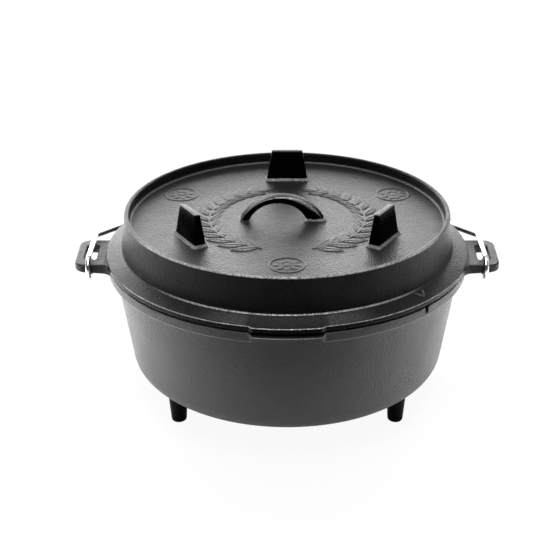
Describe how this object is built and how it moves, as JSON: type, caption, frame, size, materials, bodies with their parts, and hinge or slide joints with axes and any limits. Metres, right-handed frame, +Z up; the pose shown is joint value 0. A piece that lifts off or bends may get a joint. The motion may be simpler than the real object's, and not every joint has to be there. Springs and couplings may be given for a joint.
{
  "type": "cast iron dutch oven",
  "caption": "Deep round cast iron camp pot on legs, with a flanged coal-holding lid that lifts off and a wire bail that swings over it.",
  "frame": {"origin": "on the ground, at the centre of the circle that the three legs stand on, which is on the pot's own axis", "axes": "+Z up along the pot's axis; the ears and the bail's hinge point along X; the tabs that lift the lid point along -Y; the bail lies folded back towards +Y"},
  "size_m": [0.3812, 0.3519, 0.2048],
  "materials": {
    "cast_iron": "sand cast, seasoned black with a satin oil sheen and fine pebble",
    "bail_steel": "bright plated round wire"
  },
  "bodies": {
    "pot": {"pot_bowl": "cast_iron", "pot_rim": "cast_iron", "ear_left": "cast_iron", "ear_right": "cast_iron", "leg_left": "cast_iron", "leg_right": "cast_iron", "leg_back": "cast_iron"},
    "lid": {"lid_plate": "cast_iron", "lid_wall": "cast_iron", "lid_flange": "cast_iron", "lid_handle": "cast_iron", "lid_foot_left": "cast_iron", "lid_foot_right": "cast_iron", "lid_foot_back": "cast_iron"},
    "bail": {"bail_wire": "bail_steel", "bail_grip": "bail_steel"}
  },
  "joints": [
    {"name": "lid_lift", "type": "slide", "parent": "pot", "child": "lid", "axis": [0, 0, 1], "range_m": [0, 0.2]},
    {"name": "bail_swing", "type": "hinge", "parent": "pot", "child": "bail", "pos_m": [0, -0.02225, 0.13835], "axis": [1, 0, 0], "range_deg": [0, 220]}
  ]
}
